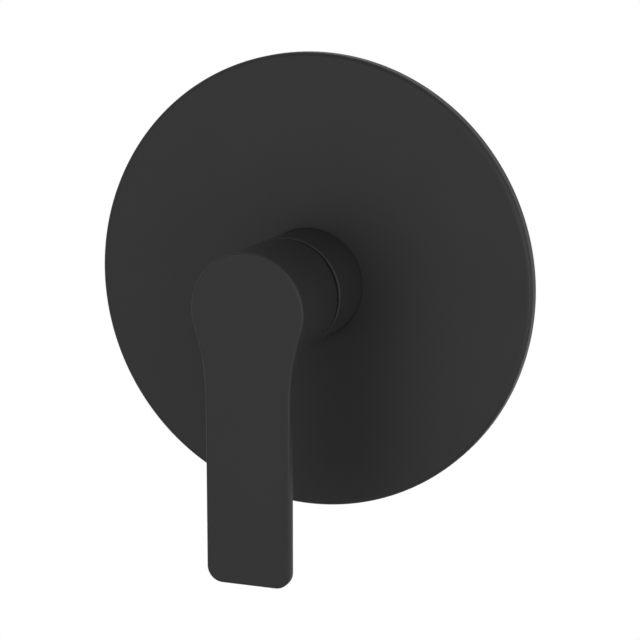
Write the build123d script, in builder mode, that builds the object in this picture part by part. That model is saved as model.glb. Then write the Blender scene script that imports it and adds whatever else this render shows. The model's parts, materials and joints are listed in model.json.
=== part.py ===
"""Concealed single-lever shower mixer, in millimetres.

The origin is the centre of the cover plate's back, on the finished wall. +Y goes into the wall,
+Z is up and +X is to the right for someone who faces the wall, so the hot inlet is on -X.
Distances named *_out are measured out of the wall, along -Y, and are negative inside it.
"""

from build123d import *
import math
import os

os.makedirs("parts", exist_ok=True)

# Clearances
running = 0.05  # radial, a pin or journal that turns in its hole
sliding = 0.15  # each side, flat faces that slide
loose = 0.3  # between pieces that move past each other without touching
thread_gap = 0.1  # radial, between the plain cylinders that stand for two mating threads

# Cover plate, its foam gasket and its ring seal
plate_radius = 85.0
plate_thickness = 5.7
plate_edge = 1.8
plate_skin = 2.2
plate_rim = 3.0
gasket_width = 6.0
collar_wall = 4.6
collar_depth = 7.0
ring_seal_cord = 2.4

# Sleeve over the neck of the valve
sleeve_wall = 2.2
sleeve_front_out = 28.5
sleeve_depth = 18.0
sleeve_lip = 2.2
sleeve_hole_radius = 14.2
bead_rise = 0.12
bead_length = 0.8
bead_edge = 0.3
neck_seal_cord = 1.8

# Handle
handle_gap = 2.5
handle_length = 35.0
skirt_step = 0.1
head_flare = 0.6
skirt_wall = 2.2
skirt_edge = 0.5
front_wall = 5.0
lever_width = 31.8
lever_reach = 98.6
lever_thickness = 3.6
lever_corner = 5.8
lever_blend = 79.0
lever_edge = 0.9
lever_root = 3.0
boss_wall = 2.4
boss_recess = 5.0
socket_depth = 13.0
adapter_wall = 1.5
screw_inset = 6.0
screw_radius = 2.5
screw_length = 8.0
screw_key_flats = 2.5
screw_boss_wall = 2.7
cover_radius = 3.2
cover_thickness = 3.0
cover_recess = 0.3

# Stem, tilt pin and the collar that turns with the handle
tilt_depth = 22.5  # from the sleeve's front back to the tilt pin
lift_angle = 22.0
turn_angle = 45.0
stop_play = 1.0  # degrees past the turn before the tab meets a stop
stem_size = 7.0
stem_chamfer = 0.6
stem_shoulder_depth = 5.0
stem_neck_radius = 1.8
ball_radius = 2.6
ball_arm = 14.0
ball_gap = 0.25
pin_radius = 1.5
collar_radius = 9.6
collar_flange_thickness = 3.0
collar_flange_depth = 7.0
cheek_length = 5.1
stop_seat_step = 0.4
stop_ring_rise = 1.0
stop_ring_thickness = 2.0
stop_tab_length = 1.5
stop_tab_width = 3.0

# Ceramic cartridge
housing_radius = 12.5
housing_wall = 1.2
housing_flange_step = 2.1
housing_flange_thickness = 2.0
housing_neck_height = 6.6
carrier_width = 12.0
carrier_block_height = 3.9
carrier_plate_thickness = 2.6
moving_disc_thickness = 3.2
mixing_recess_radius = 5.5
mixing_recess_depth = 1.6
fixed_disc_thickness = 3.5
base_insert = 3.3
base_foot = 2.0
base_lug_radius = 1.4
base_lug_length = 2.4
base_lug_x = 7.0
base_lug_rise = 6.0
port_radius = 2.0
inlet_port_x = 5.6
inlet_port_drop = 3.4
mixed_port_rise = 4.4
seal_width = 1.4
seal_height = 1.5

# Valve body, its nut and its plug
nut_step = 0.5
nut_thread_length = 6.0
nut_key_height = 4.0
nut_key_step = 0.1
neck_wall = 3.0
chamber_gap = 0.4
barrel_radius = 23.0
barrel_gap = 2.0
body_back_wall = 4.0
casting_round = 2.0
port_depth = 42.0
port_reach = 38.0
port_boss_radius = 14.0
port_key_length = 12.0
pipe_thread_radius = 10.5
pipe_thread_length = 14.0
inlet_passage_radius = 5.5
inlet_passage_end = 5.0  # from the middle of the body to the end of each inlet's passage
mixed_passage_radius = 4.0
mixed_passage_inset = 8.0  # behind the inlets' passages, so that the two never meet
inlet_port_inset = 3.0  # from the axis of the inlets' passages to the ends of their ports
lug_spacing = 54.0
lug_margin = 7.0
lug_thickness = 5.0
lug_hole_radius = 2.75
plug_flange_radius = 13.0
plug_flange_thickness = 3.0
plug_key_flats = 10.0
plug_key_depth = 7.0
plug_shank = 11.0
washer_thickness = 1.5

# Radii that follow from the sizes, from the cartridge outwards
lift = math.radians(lift_angle)
disc_offset = ball_arm * math.sin(lift) / 2
cavity_radius = housing_radius - housing_wall
moving_disc_radius = cavity_radius - disc_offset - 2 * loose
collar_flange_radius = cavity_radius - loose
stop_seat_radius = collar_radius - stop_seat_step
stop_ring_radius = collar_radius + stop_ring_rise
stop_tab_reach = stop_ring_radius + stop_tab_length
housing_neck_radius = stop_tab_reach + loose
housing_flange_radius = housing_radius + housing_flange_step
nut_radius = housing_flange_radius + nut_step
nut_key_flats = 2 * (nut_radius + nut_key_step)
neck_radius = nut_radius + thread_gap + neck_wall
neck_bore = neck_radius + thread_gap
sleeve_radius = neck_bore + sleeve_wall
plate_bore = sleeve_radius + bead_rise + sliding
skirt_radius = sleeve_radius - skirt_step
head_radius = skirt_radius + head_flare
adapter_size = stem_size + 2 * adapter_wall
boss_radius = adapter_size / math.sqrt(2) + boss_wall
lug_plate_size = lug_spacing + 2 * lug_margin
port_key_flats = 2 * port_boss_radius

# Places along the axis that follow from the sizes, as distances out of the wall
skirt_back_out = sleeve_front_out + handle_gap
handle_front_out = skirt_back_out + handle_length
lever_back_out = handle_front_out - lever_thickness
cavity_front_out = handle_front_out - front_wall
boss_back_out = skirt_back_out + boss_recess
screw_out = boss_back_out + screw_inset
stem_end_out = boss_back_out + socket_depth - loose
pivot_out = sleeve_front_out - tilt_depth
stem_shoulder_out = pivot_out - stem_shoulder_depth
ball_out = pivot_out - ball_arm
collar_flange_front_out = pivot_out - collar_flange_depth
collar_flange_back_out = collar_flange_front_out - collar_flange_thickness
cheek_back_out = collar_flange_back_out - cheek_length
nut_face_out = pivot_out
neck_front_out = nut_face_out + nut_thread_length
nut_front_out = neck_front_out + nut_key_height
housing_neck_front_out = nut_face_out + housing_neck_height
stop_ring_back_out = housing_neck_front_out + loose
stop_ring_front_out = stop_ring_back_out + stop_ring_thickness
carrier_plate_front_out = cheek_back_out - loose
carrier_block_front_out = carrier_plate_front_out + carrier_block_height
moving_disc_front_out = carrier_plate_front_out - carrier_plate_thickness
fixed_disc_front_out = moving_disc_front_out - moving_disc_thickness
base_front_out = fixed_disc_front_out - fixed_disc_thickness
housing_back_out = base_front_out - base_insert
base_back_out = housing_back_out - base_foot
chamber_floor_out = base_back_out - chamber_gap
collar_back_out = -collar_depth
ring_seal_out = -collar_depth / 2
sleeve_back_out = -sleeve_depth
neck_seal_out = -sleeve_depth / 2
barrel_front_out = sleeve_back_out - barrel_gap
body_back_out = -(port_depth + port_boss_radius + body_back_wall)
mixed_passage_depth = port_depth + mixed_passage_inset

inlet_places = [(-inlet_port_x, -inlet_port_drop), (inlet_port_x, -inlet_port_drop)]
mixed_place = (0, mixed_port_rise)
port_places = [*inlet_places, mixed_place]
base_lug_places = [(-base_lug_x, base_lug_rise), (base_lug_x, base_lug_rise)]

# Section plane: first coordinate is the radius, second the distance out of the wall
section = Plane(origin=(0, 0, 0), x_dir=(1, 0, 0), z_dir=(0, 0, -1))


def wall_plane(distance_out):
    """Plane parallel to the wall, with X to the right, Z up and its normal out of the wall."""
    return Plane.XZ.offset(distance_out)


def side_plane(x, distance_out, z, direction):
    """Plane at a point, with its normal along the given direction."""
    return Plane(origin=(x, -distance_out, z), z_dir=direction)


# Cover plate: a round disc with a turned-back rim, hollow behind, and a collar around its hole
with BuildPart() as cover_plate:
    with BuildSketch(section) as plate_section:
        Polygon(
            (plate_bore, collar_back_out),
            (plate_bore + collar_wall, collar_back_out),
            (plate_bore + collar_wall, plate_thickness - plate_skin),
            (plate_radius - plate_rim, plate_thickness - plate_skin),
            (plate_radius - plate_rim, 0),
            (plate_radius, 0),
            (plate_radius, plate_thickness),
            (plate_bore, plate_thickness),
            align=None,
        )
        rim_corners = plate_section.vertices().group_by(Axis.X)[-1]
        fillet(rim_corners.sort_by(Axis.Y)[-1], radius=plate_edge)
    revolve(axis=Axis.Y)
    with BuildSketch(section):
        with Locations((plate_bore, ring_seal_out)):
            Rectangle(2 * (ring_seal_cord - (plate_bore - sleeve_radius)), ring_seal_cord)
    revolve(axis=Axis.Y, mode=Mode.SUBTRACT)
cover_plate.part.label = "cover_plate"

# Foam ring that seals the plate's rim against the tiles
with BuildPart() as plate_gasket:
    with BuildSketch(section):
        with Locations((plate_radius - plate_rim, 0)):
            Rectangle(gasket_width, plate_thickness - plate_skin, align=(Align.MAX, Align.MIN))
    revolve(axis=Axis.Y)
plate_gasket.part.label = "plate_gasket"

# Rubber ring in the plate's collar, which holds the plate on the sleeve by friction
with BuildPart() as plate_o_ring:
    with BuildSketch(section):
        with Locations((sleeve_radius + ring_seal_cord / 2, ring_seal_out)):
            Circle(ring_seal_cord / 2)
    revolve(axis=Axis.Y)
plate_o_ring.part.label = "plate_o_ring"

# Sleeve: a tube screwed over the valve's neck, closed to a ring in front, with a fine bead there
with BuildPart() as sleeve:
    with BuildSketch(section):
        Polygon(
            (neck_bore, sleeve_back_out),
            (sleeve_radius, sleeve_back_out),
            (sleeve_radius, sleeve_front_out - bead_length),
            (sleeve_radius + bead_rise, sleeve_front_out - bead_length + bead_rise),
            (sleeve_radius + bead_rise, sleeve_front_out),
            (sleeve_hole_radius, sleeve_front_out),
            (sleeve_hole_radius, sleeve_front_out - sleeve_lip),
            (neck_bore, sleeve_front_out - sleeve_lip),
            align=None,
        )
    revolve(axis=Axis.Y)
    front_edges = sleeve.edges().group_by(Axis.Y)[0]
    fillet(front_edges.sort_by(SortBy.RADIUS)[-1], radius=bead_edge)
sleeve.part.label = "sleeve"

# Rubber ring between the valve's neck and the sleeve
with BuildPart() as sleeve_o_ring:
    with BuildSketch(section):
        with Locations((neck_bore - neck_seal_cord / 2, neck_seal_out)):
            Circle(neck_seal_cord / 2)
    revolve(axis=Axis.Y)
sleeve_o_ring.part.label = "sleeve_o_ring"

# Valve body: a brass casting with a chamber for the cartridge, two inlets and two outlets
port_mouths = [
    Plane(origin=(0, port_depth, 0), x_dir=(0, 1, 0), z_dir=direction)
    for direction in [(-1, 0, 0), (1, 0, 0), (0, 0, 1), (0, 0, -1)]
]
with BuildPart() as valve_body:
    with BuildSketch(wall_plane(body_back_out)):
        Circle(barrel_radius)
    extrude(amount=barrel_front_out - body_back_out)
    for mouth in port_mouths:
        with BuildSketch(mouth):
            Circle(port_boss_radius)
        extrude(amount=port_reach)
    fillet(valve_body.edges().filter_by(GeomType.BSPLINE), radius=casting_round)
    fillet(valve_body.edges().group_by(Axis.Y)[0], radius=casting_round)
    with BuildSketch(wall_plane(barrel_front_out)):
        Circle(neck_radius)
    extrude(amount=neck_front_out - barrel_front_out)
    with BuildSketch(wall_plane(body_back_out)):
        RectangleRounded(lug_plate_size, lug_plate_size, lug_margin)
    extrude(amount=lug_thickness)
    for mouth in port_mouths:
        with BuildSketch(mouth.offset(port_reach - port_key_length)):
            RegularPolygon(port_key_flats / 2, 6, major_radius=False)
        extrude(amount=port_key_length)
    with Locations(*[mouth.offset(port_reach) for mouth in port_mouths]):
        Hole(pipe_thread_radius, pipe_thread_length)
    with Locations(*[mouth.offset(port_reach) for mouth in port_mouths[:2]]):
        Hole(inlet_passage_radius, port_reach - inlet_passage_end)
    with BuildSketch(Plane.XY):
        with Locations((0, mixed_passage_depth)):
            Circle(mixed_passage_radius)
    extrude(amount=port_reach - pipe_thread_length, both=True, mode=Mode.SUBTRACT)
    with Locations(wall_plane(neck_front_out)):
        CounterBoreHole(
            housing_radius + sliding,
            nut_radius + thread_gap,
            neck_front_out - nut_face_out + housing_flange_thickness,
            neck_front_out - chamber_floor_out,
        )
    with Locations(wall_plane(chamber_floor_out)):
        with Locations(*inlet_places):
            Hole(port_radius, chamber_floor_out + port_depth - inlet_port_inset)
        with Locations(mixed_place):
            Hole(port_radius, chamber_floor_out + mixed_passage_depth)
        with Locations(*base_lug_places):
            Hole(base_lug_radius + sliding, base_lug_length)
    with Locations(wall_plane(body_back_out + lug_thickness)):
        with GridLocations(lug_spacing, lug_spacing, 2, 2):
            Hole(lug_hole_radius, lug_thickness)
    with BuildSketch(section):
        with Locations((neck_radius, neck_seal_out)):
            Rectangle(2 * (neck_seal_cord - thread_gap), neck_seal_cord)
    revolve(axis=Axis.Y, mode=Mode.SUBTRACT)
valve_body.part.label = "valve_body"

# Plug in the lower outlet, which a bath spout would use
plug_seat = Plane(origin=(0, port_depth, -port_reach), x_dir=(0, 1, 0), z_dir=(0, 0, -1))
with BuildPart() as outlet_plug:
    with BuildSketch(plug_seat.offset(washer_thickness)):
        Circle(plug_flange_radius)
    extrude(amount=plug_flange_thickness)
    with BuildSketch(plug_seat.offset(washer_thickness)):
        Circle(pipe_thread_radius - thread_gap)
    extrude(amount=-(plug_shank + washer_thickness))
    with BuildSketch(plug_seat.offset(washer_thickness + plug_flange_thickness)):
        RegularPolygon(plug_key_flats / 2, 6, major_radius=False)
    extrude(amount=-plug_key_depth, mode=Mode.SUBTRACT)
outlet_plug.part.label = "outlet_plug"

# Fibre washer under the plug's flange
with BuildPart() as plug_washer:
    with BuildSketch(plug_seat):
        Circle(plug_flange_radius)
        Circle(pipe_thread_radius + thread_gap, mode=Mode.SUBTRACT)
    extrude(amount=washer_thickness)
plug_washer.part.label = "plug_washer"

# Ring nut that clamps the cartridge's flange in the body
with BuildPart() as cartridge_nut:
    with BuildSketch(wall_plane(nut_face_out)):
        Circle(nut_radius)
    extrude(amount=neck_front_out - nut_face_out)
    with BuildSketch(wall_plane(neck_front_out)):
        RegularPolygon(nut_key_flats / 2, 6, major_radius=False)
    extrude(amount=nut_key_height)
    with Locations(wall_plane(nut_front_out)):
        Hole(housing_neck_radius + thread_gap)
cartridge_nut.part.label = "cartridge_nut"

# Cartridge housing: a moulded cup, open at the back, with the two temperature stops in front
with BuildPart() as cartridge_housing:
    with BuildSketch(section):
        Polygon(
            (cavity_radius, housing_back_out),
            (housing_radius, housing_back_out),
            (housing_radius, nut_face_out - housing_flange_thickness),
            (housing_flange_radius, nut_face_out - housing_flange_thickness),
            (housing_flange_radius, nut_face_out),
            (housing_neck_radius, nut_face_out),
            (housing_neck_radius, housing_neck_front_out),
            (collar_radius + running, housing_neck_front_out),
            (collar_radius + running, collar_flange_front_out + loose),
            (cavity_radius, collar_flange_front_out + loose),
            align=None,
        )
    revolve(axis=Axis.Y)
    with BuildSketch(wall_plane(housing_neck_front_out)):
        Circle(housing_neck_radius)
        Circle(stop_ring_radius + loose, mode=Mode.SUBTRACT)
        tab_half_angle = math.asin(stop_tab_width / 2 / stop_ring_radius)
        window = math.radians(turn_angle + stop_play) + tab_half_angle
        far = 2 * housing_neck_radius
        side_x, side_z = far * math.sin(window), -far * math.cos(window)
        Polygon(
            (0, 0),
            (-side_x, side_z),
            (0, -far),
            (side_x, side_z),
            align=None,
            mode=Mode.SUBTRACT,
        )
    extrude(amount=stop_ring_thickness)
cartridge_housing.part.label = "cartridge_housing"

# Cartridge base: closes the housing, with a port for hot, cold and mixed water
with BuildPart() as cartridge_base:
    with BuildSketch(wall_plane(base_back_out)):
        Circle(housing_radius)
    extrude(amount=base_foot)
    with BuildSketch(wall_plane(housing_back_out)):
        Circle(cavity_radius - thread_gap)
    extrude(amount=base_insert)
    with BuildSketch(wall_plane(base_back_out)):
        with Locations(*base_lug_places):
            Circle(base_lug_radius)
    extrude(amount=-(base_lug_length - chamber_gap))
    for seat, inward in [(base_front_out, -1), (base_back_out, 1)]:
        groove = seal_height if inward < 0 else seal_height - chamber_gap
        with BuildSketch(wall_plane(seat)):
            with Locations(*port_places):
                Circle(port_radius + seal_width)
        extrude(amount=inward * groove, mode=Mode.SUBTRACT)
    with Locations(wall_plane(base_front_out)):
        with Locations(*port_places):
            Hole(port_radius)
cartridge_base.part.label = "cartridge_base"


def port_rings(back_out):
    """Three rubber rings around the ports, standing out from the given distance."""
    with BuildPart() as rings:
        with BuildSketch(wall_plane(back_out)):
            with Locations(*port_places):
                Circle(port_radius + seal_width)
            with Locations(*port_places):
                Circle(port_radius, mode=Mode.SUBTRACT)
        extrude(amount=seal_height)
    return rings.part


# Rubber rings between the base and the body, and between the base and the fixed disc
base_seals = port_rings(chamber_floor_out)
base_seals.label = "base_seals"
disc_seals = port_rings(base_front_out - seal_height)
disc_seals.label = "disc_seals"

# Fixed ceramic disc, with the three ports
with BuildPart() as fixed_disc:
    with BuildSketch(wall_plane(base_front_out)):
        Circle(cavity_radius - loose)
        with Locations(*port_places):
            Circle(port_radius, mode=Mode.SUBTRACT)
    extrude(amount=fixed_disc_thickness)
fixed_disc.part.label = "fixed_disc"

# Moving ceramic disc: its recess joins the ports as it slides down and turns
with BuildPart() as moving_disc:
    with BuildSketch(wall_plane(fixed_disc_front_out)):
        with Locations((0, disc_offset)):
            Circle(moving_disc_radius)
    extrude(amount=moving_disc_thickness)
    with BuildSketch(wall_plane(fixed_disc_front_out)):
        with Locations((0, disc_offset + (moving_disc_radius - mixing_recess_radius) / 2)):
            Circle(mixing_recess_radius)
    extrude(amount=mixing_recess_depth, mode=Mode.SUBTRACT)
moving_disc.part.label = "moving_disc"

# Carrier that the stem's ball drives; it slides between the cheeks of the stem collar
with BuildPart() as disc_carrier:
    with BuildSketch(wall_plane(moving_disc_front_out)):
        with Locations((0, disc_offset)):
            Circle(moving_disc_radius)
    extrude(amount=carrier_plate_thickness)
    with BuildSketch(wall_plane(carrier_plate_front_out)):
        with Locations((0, disc_offset)):
            Circle(moving_disc_radius)
            Rectangle(carrier_width, 2 * moving_disc_radius, mode=Mode.INTERSECT)
    extrude(amount=carrier_block_height)
    with Locations(wall_plane(carrier_block_front_out)):
        Hole(ball_radius + ball_gap, carrier_block_front_out - ball_out + ball_radius + loose)
disc_carrier.part.label = "disc_carrier"

# Stem collar: turns in the housing with the handle, and carries the tilt pin
with BuildPart() as stem_collar:
    with BuildSketch(section):
        Polygon(
            (0, collar_flange_back_out),
            (collar_flange_radius, collar_flange_back_out),
            (collar_flange_radius, collar_flange_front_out),
            (collar_radius, collar_flange_front_out),
            (collar_radius, stop_ring_back_out),
            (stop_seat_radius, stop_ring_back_out),
            (stop_seat_radius, stop_ring_front_out),
            (0, stop_ring_front_out),
            align=None,
        )
    revolve(axis=Axis.Y)
    with BuildSketch(wall_plane(cheek_back_out)):
        Circle(collar_flange_radius)
        Rectangle(carrier_width + 2 * sliding, 3 * collar_flange_radius, mode=Mode.SUBTRACT)
    extrude(amount=cheek_length)
    slot_width = stem_size + 2 * sliding
    rest_side = stem_size / 2 + loose
    front_reach = stem_size / 2 / math.cos(lift) + (stop_ring_front_out - pivot_out) * math.tan(lift)
    back_reach = stem_neck_radius / math.cos(lift) + (pivot_out - collar_flange_back_out) * math.tan(lift)
    slot_overlap = 1.0
    with BuildSketch(wall_plane(pivot_out - slot_overlap)):
        with Locations((0, (front_reach + sliding - rest_side) / 2)):
            Rectangle(slot_width, front_reach + sliding + rest_side)
    extrude(amount=stop_ring_front_out - pivot_out + slot_overlap, mode=Mode.SUBTRACT)
    with BuildSketch(wall_plane(pivot_out + slot_overlap)):
        with Locations((0, (rest_side - back_reach - sliding) / 2)):
            Rectangle(slot_width, back_reach + sliding + rest_side)
    extrude(amount=-(pivot_out + slot_overlap - collar_flange_back_out), mode=Mode.SUBTRACT)
    with Locations(side_plane(collar_radius, pivot_out, 0, (1, 0, 0))):
        Hole(pin_radius)
stem_collar.part.label = "stem_collar"

# Ring on the collar's end whose tab meets the housing's stops at full cold and full hot
with BuildPart() as temperature_stop_ring:
    with BuildSketch(wall_plane(stop_ring_back_out)):
        Circle(stop_ring_radius)
        with Locations((0, -stop_tab_reach / 2)):
            Rectangle(stop_tab_width, stop_tab_reach)
        Circle(stop_seat_radius, mode=Mode.SUBTRACT)
    extrude(amount=stop_ring_thickness)
temperature_stop_ring.part.label = "temperature_stop_ring"

# Steel pin on which the stem tilts
with BuildPart() as pivot_pin:
    with BuildSketch(side_plane(0, pivot_out, 0, (1, 0, 0))):
        Circle(pin_radius)
    extrude(amount=collar_radius - sliding - loose, both=True)
pivot_pin.part.label = "pivot_pin"

# Stem: a square bar with a ball at its inner end
with BuildPart() as stem:
    with BuildSketch(wall_plane(stem_shoulder_out)):
        Rectangle(stem_size, stem_size)
    extrude(amount=stem_end_out - stem_shoulder_out)
    chamfer(stem.edges().group_by(Axis.Y)[0], length=stem_chamfer)
    with BuildSketch(wall_plane(ball_out)):
        Circle(stem_neck_radius)
    extrude(amount=stem_shoulder_out - ball_out)
    with Locations((0, -ball_out, 0)):
        Sphere(ball_radius)
    with Locations(side_plane(stem_size / 2, pivot_out, 0, (1, 0, 0))):
        Hole(pin_radius + running)
stem.part.label = "stem"

# Moulded sleeve that takes up the play between the stem and the handle's socket
with BuildPart() as handle_adapter:
    with BuildSketch(wall_plane(boss_back_out)):
        Rectangle(adapter_size, adapter_size)
        Rectangle(stem_size, stem_size, mode=Mode.SUBTRACT)
    extrude(amount=socket_depth - loose)
    with Locations(side_plane(0, screw_out, -adapter_size / 2, (0, 0, -1))):
        Hole(screw_radius, (adapter_size - stem_size) / 2)
handle_adapter.part.label = "handle_adapter"

# Outline of the handle seen from the front: a round head that narrows to the lever
blend_x = lever_width / 2 + lever_blend
blend_z = -math.sqrt((head_radius + lever_blend) ** 2 - blend_x**2)
touch = head_radius / (head_radius + lever_blend)
with BuildSketch(wall_plane(lever_back_out)) as lever_outline:
    with BuildLine():
        right = (touch * blend_x, touch * blend_z)
        left = (-right[0], right[1])
        ThreePointArc(left, (0, head_radius), right)
        TangentArc((lever_width / 2, blend_z), right, tangent=(0, 1))
        TangentArc((-lever_width / 2, blend_z), left, tangent=(0, 1))
        Polyline(
            (lever_width / 2, blend_z),
            (lever_width / 2, -lever_reach),
            (-lever_width / 2, -lever_reach),
            (-lever_width / 2, blend_z),
        )
    make_face()
    fillet(lever_outline.vertices().group_by(Axis.Y)[0], radius=lever_corner)

# Rounded inner corner between the head and the lever's back, cut to the same outline
with BuildPart() as lever_web:
    with BuildSketch(section) as web_profile:
        Polygon(
            (0, skirt_back_out),
            (skirt_radius, skirt_back_out),
            (head_radius, lever_back_out),
            (head_radius + 2 * lever_root, lever_back_out),
            (head_radius + 2 * lever_root, handle_front_out),
            (0, handle_front_out),
            align=None,
        )
        inner_corner = web_profile.vertices().sort_by_distance((head_radius, lever_back_out))[0]
        fillet(inner_corner, radius=lever_root)
    revolve(axis=Axis.Y)
    extrude(lever_outline.sketch, amount=-2 * lever_root, mode=Mode.INTERSECT)

# Flat lever with the rounded front edge that runs round the whole handle
with BuildPart() as lever_blade:
    extrude(lever_outline.sketch, amount=lever_thickness)
    fillet(lever_blade.faces().sort_by(Axis.Y)[0].edges(), radius=lever_edge)

# Handle: one casting, a hollow round head that runs down into the thin flat lever
with BuildPart() as handle:
    with BuildSketch(section):
        Polygon(
            (0, skirt_back_out),
            (skirt_radius, skirt_back_out),
            (head_radius, lever_back_out),
            (head_radius, handle_front_out - lever_edge),
            (0, handle_front_out - lever_edge),
            align=None,
        )
    revolve(axis=Axis.Y)
    add(lever_web.part)
    add(lever_blade.part)
    fillet(handle.edges().group_by(Axis.Y)[-1], radius=skirt_edge)
    with BuildSketch(section):
        Polygon(
            (0, skirt_back_out),
            (skirt_radius - skirt_wall, skirt_back_out),
            (head_radius - skirt_wall, cavity_front_out),
            (0, cavity_front_out),
            align=None,
        )
    revolve(axis=Axis.Y, mode=Mode.SUBTRACT)
    with BuildSketch(wall_plane(boss_back_out)):
        Circle(boss_radius)
    extrude(amount=cavity_front_out - boss_back_out)
    with BuildSketch(side_plane(0, screw_out, 0, (0, 0, -1))):
        Circle(screw_radius + screw_boss_wall)
    extrude(amount=skirt_radius - skirt_wall / 2)
    with BuildSketch(wall_plane(boss_back_out)):
        Rectangle(adapter_size, adapter_size)
    extrude(amount=socket_depth, mode=Mode.SUBTRACT)
    with Locations(side_plane(0, screw_out, -head_radius, (0, 0, -1))):
        CounterBoreHole(
            screw_radius,
            cover_radius,
            head_radius - skirt_radius + cover_recess + cover_thickness,
            head_radius - adapter_size / 2,
        )
handle.part.label = "handle"

# Set screw that clamps the handle to the stem, reached from below behind the lever
with BuildPart() as handle_screw:
    with BuildSketch(side_plane(0, screw_out, -stem_size / 2, (0, 0, -1))):
        Circle(screw_radius)
    extrude(amount=screw_length)
    with BuildSketch(side_plane(0, screw_out, -stem_size / 2 - screw_length, (0, 0, -1))):
        RegularPolygon(screw_key_flats / 2, 6, major_radius=False)
    extrude(amount=-screw_length / 2, mode=Mode.SUBTRACT)
handle_screw.part.label = "handle_screw"

# Push-in cover over the screw's hole
with BuildPart() as screw_cover:
    with BuildSketch(side_plane(0, screw_out, cover_recess - skirt_radius, (0, 0, 1))):
        Circle(cover_radius)
    extrude(amount=cover_thickness)
screw_cover.part.label = "screw_cover"

for piece in [
    cover_plate.part,
    plate_gasket.part,
    plate_o_ring.part,
    sleeve.part,
    sleeve_o_ring.part,
    valve_body.part,
    outlet_plug.part,
    plug_washer.part,
    cartridge_nut.part,
    cartridge_housing.part,
    cartridge_base.part,
    base_seals,
    disc_seals,
    fixed_disc.part,
    moving_disc.part,
    disc_carrier.part,
    stem_collar.part,
    temperature_stop_ring.part,
    pivot_pin.part,
    stem.part,
    handle_adapter.part,
    handle.part,
    handle_screw.part,
    screw_cover.part,
]:
    export_step(piece, f"parts/{piece.label}.step")
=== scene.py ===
# %% [markdown]
# A concealed shower mixer in matt black. The wall hides its brass body, and a person who uses it
# sees three pieces: a round cover plate, a short sleeve and a flat lever. This lesson dresses the
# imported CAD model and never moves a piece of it. It gives each one its finish, and makes anew the
# three black pieces and the pipe threads, because their soft edges are what light draws on black.

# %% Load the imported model
import json
import math

import bmesh
import bpy
import numpy as np
from mathutils import Matrix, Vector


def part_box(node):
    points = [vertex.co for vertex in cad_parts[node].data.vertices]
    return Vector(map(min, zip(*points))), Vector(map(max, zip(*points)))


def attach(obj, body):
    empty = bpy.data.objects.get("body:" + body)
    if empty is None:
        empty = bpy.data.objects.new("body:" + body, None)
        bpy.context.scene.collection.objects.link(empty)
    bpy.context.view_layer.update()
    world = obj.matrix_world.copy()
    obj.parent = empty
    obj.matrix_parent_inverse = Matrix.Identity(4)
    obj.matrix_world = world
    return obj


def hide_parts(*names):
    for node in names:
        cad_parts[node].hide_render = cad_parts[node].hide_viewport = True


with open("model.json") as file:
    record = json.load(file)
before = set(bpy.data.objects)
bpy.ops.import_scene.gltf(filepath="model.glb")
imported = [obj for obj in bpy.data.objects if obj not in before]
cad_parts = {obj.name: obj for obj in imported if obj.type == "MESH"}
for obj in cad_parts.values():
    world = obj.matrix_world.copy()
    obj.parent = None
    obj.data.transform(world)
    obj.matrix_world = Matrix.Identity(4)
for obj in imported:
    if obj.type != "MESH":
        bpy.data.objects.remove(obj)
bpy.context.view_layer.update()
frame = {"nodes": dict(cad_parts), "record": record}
nodes = frame["nodes"]

# %% [markdown]
# The model's frame is the wall. The origin is the middle of the plate's back, +Z is up, and the
# wall lies towards +Y. Most sizes here are easier to think of as a radius and a distance out of
# the wall, in millimetres, so a piece is worked out in those and turned into metres at the end.

# %% From millimetres in the wall's terms to metres
MM = 0.001
X, Y, Z = 0, 1, 2
LOW, HIGH = 0, 1


def to_metres(x, z, out):
    """Stack x, z and the distance out of the wall into points: y is minus the distance out."""
    x, z, out = np.broadcast_arrays(x, z, out)
    return np.stack([x, -out, z], axis=-1) * MM


def face(node, axis, side):
    """The low or high face of a node's box along an axis, in millimetres."""
    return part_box(node)[side][axis] / MM


def front_of(node):
    """How far out of the wall a node reaches, in millimetres."""
    return -face(node, Y, LOW)


def back_of(node):
    """How far out of the wall a node starts, in millimetres. It is below zero inside the wall."""
    return -face(node, Y, HIGH)


plate_radius = face("cover_plate", X, HIGH)
print("plate radius", round(plate_radius, 2), "mm")

# %% [markdown]
# The photograph was taken from the right and a little above, with a long lens. The camera was
# fitted to the plate's outline, then to the sleeve and the lever, so its place is a turn, a tilt,
# a distance and a small slide. A long lens far away keeps the round plate nearly a true ellipse.
# A camera looks along its own -Z, so its +Z points from the object back to it.

# %% The camera
CAMERA_TURN = math.radians(20.96)
CAMERA_TILT = math.radians(11.34)
CAMERA_DISTANCE = 0.8165
SLIDE_RIGHT = 0.00182
SLIDE_UP = -0.0147
LENS = 123.3

backwards = np.array([
    math.sin(CAMERA_TURN) * math.cos(CAMERA_TILT),
    -math.cos(CAMERA_TURN) * math.cos(CAMERA_TILT),
    math.sin(CAMERA_TILT),
])
rightwards = np.array([math.cos(CAMERA_TURN), math.sin(CAMERA_TURN), 0.0])
upwards = np.cross(backwards, rightwards)

camera_data = bpy.data.cameras.new("camera")
camera_data.lens = LENS
camera = bpy.data.objects.new("camera", camera_data)
bpy.context.collection.objects.link(camera)
camera_place = np.eye(4)
camera_place[:3, :3] = np.column_stack([rightwards, upwards, backwards])
camera_place[:3, 3] = (
    backwards * CAMERA_DISTANCE + rightwards * SLIDE_RIGHT + upwards * SLIDE_UP
)
camera.matrix_world = Matrix(camera_place)
bpy.context.scene.camera = camera
print("camera at", np.round(camera_place[:3, 3], 4))

# %% [markdown]
# Matt black shows little of its own and much of the room, so the room is the light. Its soft
# panels could be lamps, but the world can hold them too, because its strength may depend on a
# ray's direction. A panel is then a smooth step in how far that direction points its way.

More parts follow.
